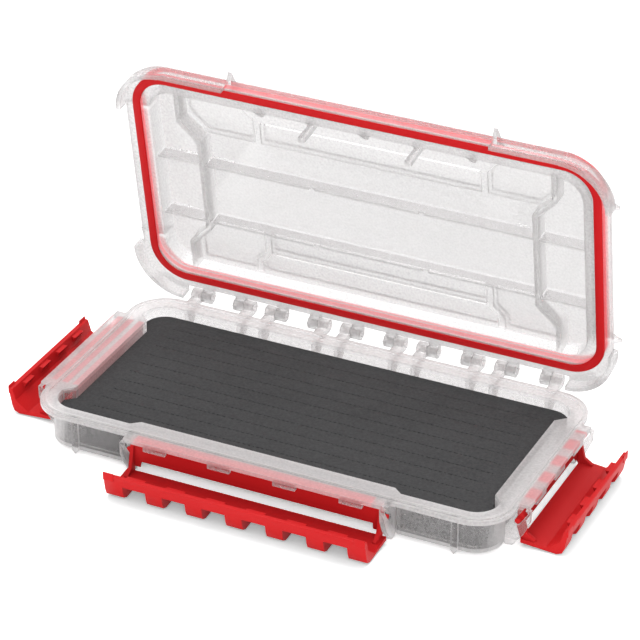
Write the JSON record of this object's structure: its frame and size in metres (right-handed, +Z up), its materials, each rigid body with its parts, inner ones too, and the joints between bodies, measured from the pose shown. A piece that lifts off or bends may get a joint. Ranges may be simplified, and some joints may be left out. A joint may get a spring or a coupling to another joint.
{
  "type": "fly box",
  "caption": "Shallow clear box with a slit foam insert, a gasketed hinged lid and swing latches on its front and ends.",
  "frame": {"origin": "middle of the flat underside that the box stands on", "axes": "+X along the box to its right-hand end, +Y to the hinge at the back, +Z up"},
  "size_m": [0.2824, 0.1587, 0.1551],
  "materials": {
    "clear_plastic": "clear moulded plastic, faintly frosted",
    "gasket": "soft satin rubber",
    "foam": "fine closed-cell foam",
    "rod": "clear drawn rod",
    "latch_plastic": "smooth moulded plastic"
  },
  "bodies": {
    "base": {"base_tray": "clear_plastic", "foam_insert": "foam", "hinge_rod": "rod"},
    "lid": {"lid": "clear_plastic", "lid_gasket": "gasket"},
    "front_latch": {"front_latch": "latch_plastic"},
    "left_latch": {"left_latch": "latch_plastic"},
    "right_latch": {"right_latch": "latch_plastic"}
  },
  "joints": [
    {"name": "lid_hinge", "type": "hinge", "parent": "base", "child": "lid", "pos_m": [0, 0.0666, 0.0225], "axis": [1, 0, 0], "range_deg": [-25, 80.66]},
    {"name": "front_latch_hinge", "type": "hinge", "parent": "base", "child": "front_latch", "pos_m": [0, -0.0589, 0.013], "axis": [-1, 0, 0], "range_deg": [0, 108.5]},
    {"name": "left_latch_hinge", "type": "hinge", "parent": "base", "child": "left_latch", "pos_m": [-0.1174, 0, 0.013], "axis": [0, 1, 0], "range_deg": [0, 108.5]},
    {"name": "right_latch_hinge", "type": "hinge", "parent": "base", "child": "right_latch", "pos_m": [0.1174, 0, 0.013], "axis": [0, -1, 0], "range_deg": [0, 108.5]}
  ]
}
